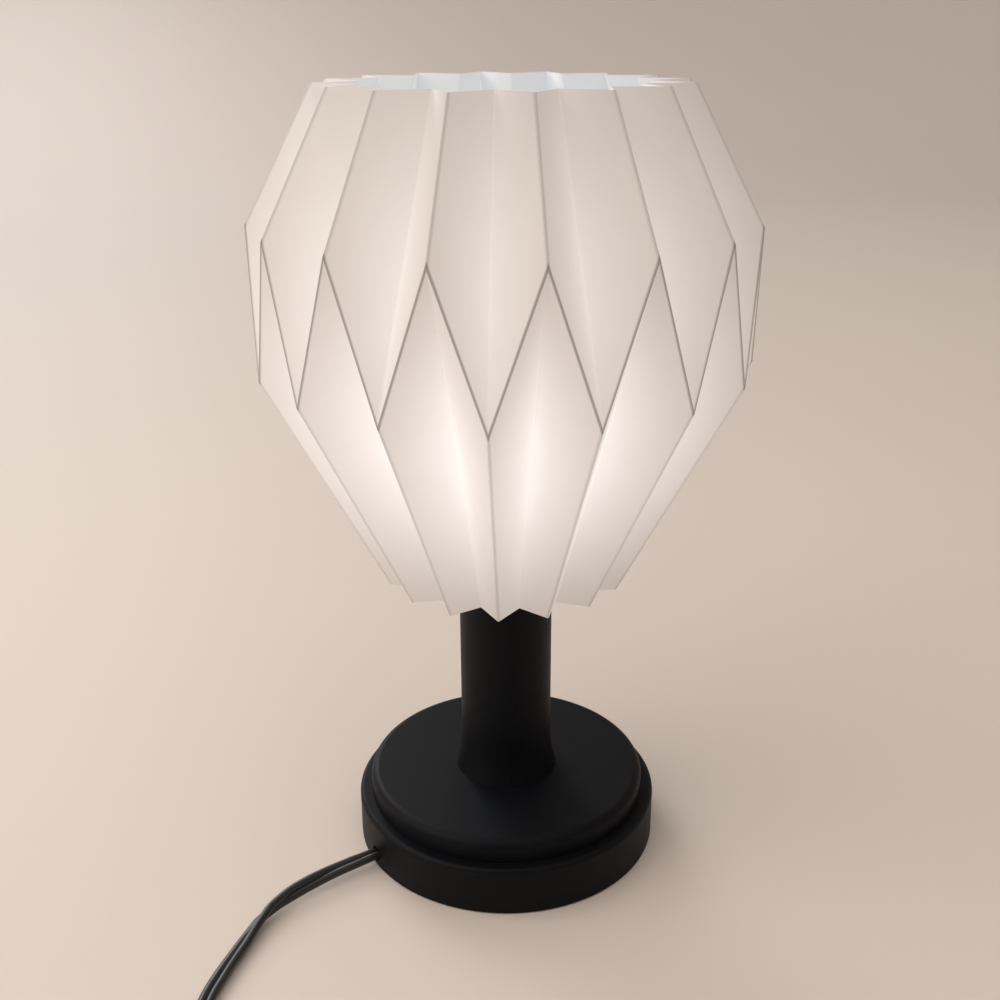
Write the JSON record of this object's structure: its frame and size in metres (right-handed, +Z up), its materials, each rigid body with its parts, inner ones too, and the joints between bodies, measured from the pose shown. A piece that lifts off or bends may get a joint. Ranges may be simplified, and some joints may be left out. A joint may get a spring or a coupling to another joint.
{
  "type": "pleated table lamp",
  "caption": "Table lamp with a faceted pleated translucent shade on a round stepped black base, with a screw-in bulb, an inline wheel switch and a coiled cord.",
  "frame": {"origin": "on the table under the middle of the round base", "axes": "+Z up, -Y towards the viewer in the picture, +X to the viewer's right"},
  "size_m": [0.1922, 0.2778, 0.2815],
  "materials": {
    "foam_pad": "soft matte black foam",
    "black_plastic": "moulded, fine grain",
    "black_base": "matte black powder coat",
    "steel": "zinc plated",
    "brass": "plain stamped",
    "cord_jacket": "smooth satin jacket",
    "frame_white": "satin white",
    "shade_sheet": "thin, translucent, satin",
    "frosted_glass": "frosted inside",
    "bulb_cap": "rolled thread",
    "black_glass": "glossy",
    "solder": "dull",
    "clear_glass": "clear",
    "filament": "phosphor coating",
    "tie_strap": "woven hook strap"
  },
  "bodies": {
    "lamp": {"base_pad": "foam_pad", "bottom_cover": "black_plastic", "cover_screws": "steel", "ballast_ring": "steel", "base_drum": "black_base", "base_disc": "black_base", "stem": "black_base", "lamp_pipe": "steel", "pipe_washer": "steel", "pipe_nut": "steel", "cord_clamp": "black_plastic", "clamp_screws": "steel", "inner_cord": "cord_jacket", "socket_cap": "black_plastic", "socket_body": "black_plastic", "screw_shell": "brass", "centre_contact": "brass", "terminal_screws": "brass", "lamp_cord": "cord_jacket", "middle_cord": "cord_jacket", "cord_coil": "cord_jacket", "plug_cord": "cord_jacket", "cord_tie": "tie_strap", "switch_base": "black_plastic", "switch_cover": "black_plastic", "switch_axle": "steel", "switch_screws": "steel", "switch_contacts": "brass", "switch_cord": "cord_jacket", "plug_body": "cord_jacket", "plug_blade_narrow": "brass", "plug_blade_wide": "brass"},
    "bulb": {"bulb_glass": "frosted_glass", "bulb_screw_cap": "bulb_cap", "bulb_insulator": "black_glass", "bulb_tip": "solder", "bulb_mount": "clear_glass", "bulb_filaments": "filament"},
    "ring_nut": {"shade_nut": "black_plastic"},
    "shade": {"shade_frame": "frame_white", "pleated_shade": "shade_sheet"},
    "switch_dial": {"switch_wheel": "black_plastic"}
  },
  "joints": [
    {"name": "bulb_lift", "type": "slide", "parent": "lamp", "child": "bulb", "axis": [0, 0, 1], "range_m": [0, 0.17]},
    {"name": "ring_nut_turn", "type": "hinge", "parent": "lamp", "child": "ring_nut", "pos_m": [0, 0, 0.1244], "axis": [0, 0, 1], "continuous": true},
    {"name": "shade_turn", "type": "hinge", "parent": "lamp", "child": "shade", "pos_m": [0, 0, 0.1195], "axis": [0, 0, 1], "continuous": true},
    {"name": "switch_wheel_turn", "type": "hinge", "parent": "lamp", "child": "switch_dial", "pos_m": [-0.03866, -0.1304, 0.0105], "axis": [0, 0, 1], "continuous": true}
  ]
}
